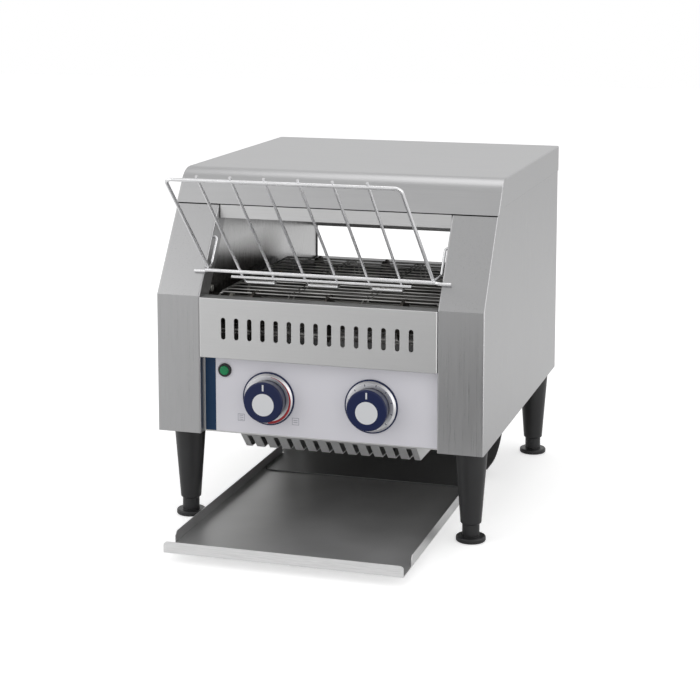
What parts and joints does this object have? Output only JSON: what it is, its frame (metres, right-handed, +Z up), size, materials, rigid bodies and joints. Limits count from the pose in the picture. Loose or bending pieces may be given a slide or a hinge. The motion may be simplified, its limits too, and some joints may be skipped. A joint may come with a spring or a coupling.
{
  "type": "conveyor toaster",
  "caption": "Countertop conveyor toaster with a wire loading rack, a moving wire belt through a heated chamber, a curved return chute and a pull-out tray.",
  "frame": {"origin": "centre of the whole footprint, on the surface that the feet stand on", "axes": "+Z up, the front faces -Y, +X on the right as seen from the front"},
  "size_m": [0.368, 0.55, 0.4061],
  "materials": {
    "stainless": "brushed stainless sheet",
    "vent_panel": "satin stainless sheet",
    "bright_wire": "bright wire",
    "steel": "bright turned steel",
    "plated": "zinc-plated steel",
    "reflector": "bright sheet",
    "chute_coating": "dark satin non-stick coating",
    "film": "printed film",
    "knob_plastic": "dark blue moulded plastic",
    "bezel": "bright ring with printed scale",
    "black_plastic": "black moulded plastic",
    "lens": "translucent green lens",
    "quartz": "quartz tube",
    "ceramic": "white ceramic",
    "bronze": "sintered bronze"
  },
  "bodies": {
    "casing": {"control_box": "plated", "control_panel": "stainless", "control_panel_film": "film", "conveyor_belt": "bright_wire", "cord_gland": "black_plastic", "drive_chain": "steel", "front_left_leg": "black_plastic", "front_right_leg": "black_plastic", "front_vent_panel": "vent_panel", "gear_motor": "steel", "heat_knob_bezel": "bezel", "heat_switch": "black_plastic", "heater_end_caps": "ceramic", "heater_hood": "stainless", "indicator_body": "black_plastic", "indicator_lens": "lens", "left_base_plate": "plated", "left_inner_wall": "stainless", "left_side_housing": "stainless", "leg_bolts": "plated", "lid_screws": "plated", "lower_heater_tubes": "quartz", "lower_reflector": "reflector", "rear_cover": "stainless", "rear_cover_screws": "plated", "rear_left_leg": "black_plastic", "rear_right_leg": "black_plastic", "return_chute": "chute_coating", "right_base_plate": "plated", "right_inner_wall": "stainless", "right_side_housing": "stainless", "shaft_bushes": "bronze", "speed_control": "black_plastic", "speed_knob_bezel": "bezel", "terminal_block": "black_plastic", "top_cover": "stainless", "underside_vent_guard": "stainless", "upper_heater_tubes": "quartz", "wall_screws": "plated"},
    "toast_tray": {"toast_tray": "stainless", "tray_glides": "black_plastic"},
    "loading_rack": {"rack_frame": "bright_wire", "rack_cross_bars": "bright_wire", "rack_hairpins": "bright_wire", "rack_hooks": "bright_wire"},
    "heat_knob": {"heat_knob": "knob_plastic", "heat_switch_spindle": "steel"},
    "speed_knob": {"speed_knob": "knob_plastic", "speed_control_spindle": "steel"},
    "front_left_foot": {"front_left_foot": "black_plastic"},
    "front_right_foot": {"front_right_foot": "black_plastic"},
    "rear_left_foot": {"rear_left_foot": "black_plastic"},
    "rear_right_foot": {"rear_right_foot": "black_plastic"},
    "rear_belt_shaft": {"rear_shaft": "steel", "rear_belt_wheels": "steel", "shaft_sprocket": "steel"},
    "front_belt_shaft": {"front_shaft": "steel", "front_belt_wheels": "steel"},
    "motor_output": {"motor_sprocket": "steel"}
  },
  "joints": [
    {"name": "tray_slide", "type": "slide", "parent": "casing", "child": "toast_tray", "axis": [0, -1, 0], "range_m": [0, 0.3]},
    {"name": "rack_hinge", "type": "hinge", "parent": "casing", "child": "loading_rack", "pos_m": [0, -0.10997, 0.316], "axis": [-1, 0, 0], "range_deg": [0, 100]},
    {"name": "heat_knob_turn", "type": "hinge", "parent": "casing", "child": "heat_knob", "pos_m": [-0.058, -0.1453, 0.147], "axis": [0, 1, 0], "range_deg": [0, 270]},
    {"name": "speed_knob_turn", "type": "hinge", "parent": "casing", "child": "speed_knob", "pos_m": [0.058, -0.1453, 0.147], "axis": [0, 1, 0], "range_deg": [0, 300]},
    {"name": "front_left_foot_screw", "type": "slide", "parent": "casing", "child": "front_left_foot", "axis": [0, 0, -1], "range_m": [0, 0.012]},
    {"name": "front_right_foot_screw", "type": "slide", "parent": "casing", "child": "front_right_foot", "axis": [0, 0, -1], "range_m": [0, 0.012]},
    {"name": "rear_left_foot_screw", "type": "slide", "parent": "casing", "child": "rear_left_foot", "axis": [0, 0, -1], "range_m": [0, 0.012]},
    {"name": "rear_right_foot_screw", "type": "slide", "parent": "casing", "child": "rear_right_foot", "axis": [0, 0, -1], "range_m": [0, 0.012]},
    {"name": "rear_shaft_turn", "type": "hinge", "parent": "casing", "child": "rear_belt_shaft", "pos_m": [0, 0.1165, 0.23214], "axis": [-1, 0, 0], "continuous": true, "deforming": ["conveyor_belt", "drive_chain"]},
    {"name": "front_shaft_turn", "type": "hinge", "parent": "casing", "child": "front_belt_shaft", "pos_m": [0, -0.111, 0.23214], "axis": [-1, 0, 0], "continuous": true},
    {"name": "motor_output_turn", "type": "hinge", "parent": "casing", "child": "motor_output", "pos_m": [0, 0.1165, 0.14958], "axis": [-1, 0, 0], "continuous": true}
  ],
  "couplings": [
    {"joint": "front_shaft_turn", "follows": "rear_shaft_turn", "ratio": 1},
    {"joint": "motor_output_turn", "follows": "rear_shaft_turn", "ratio": 1}
  ]
}
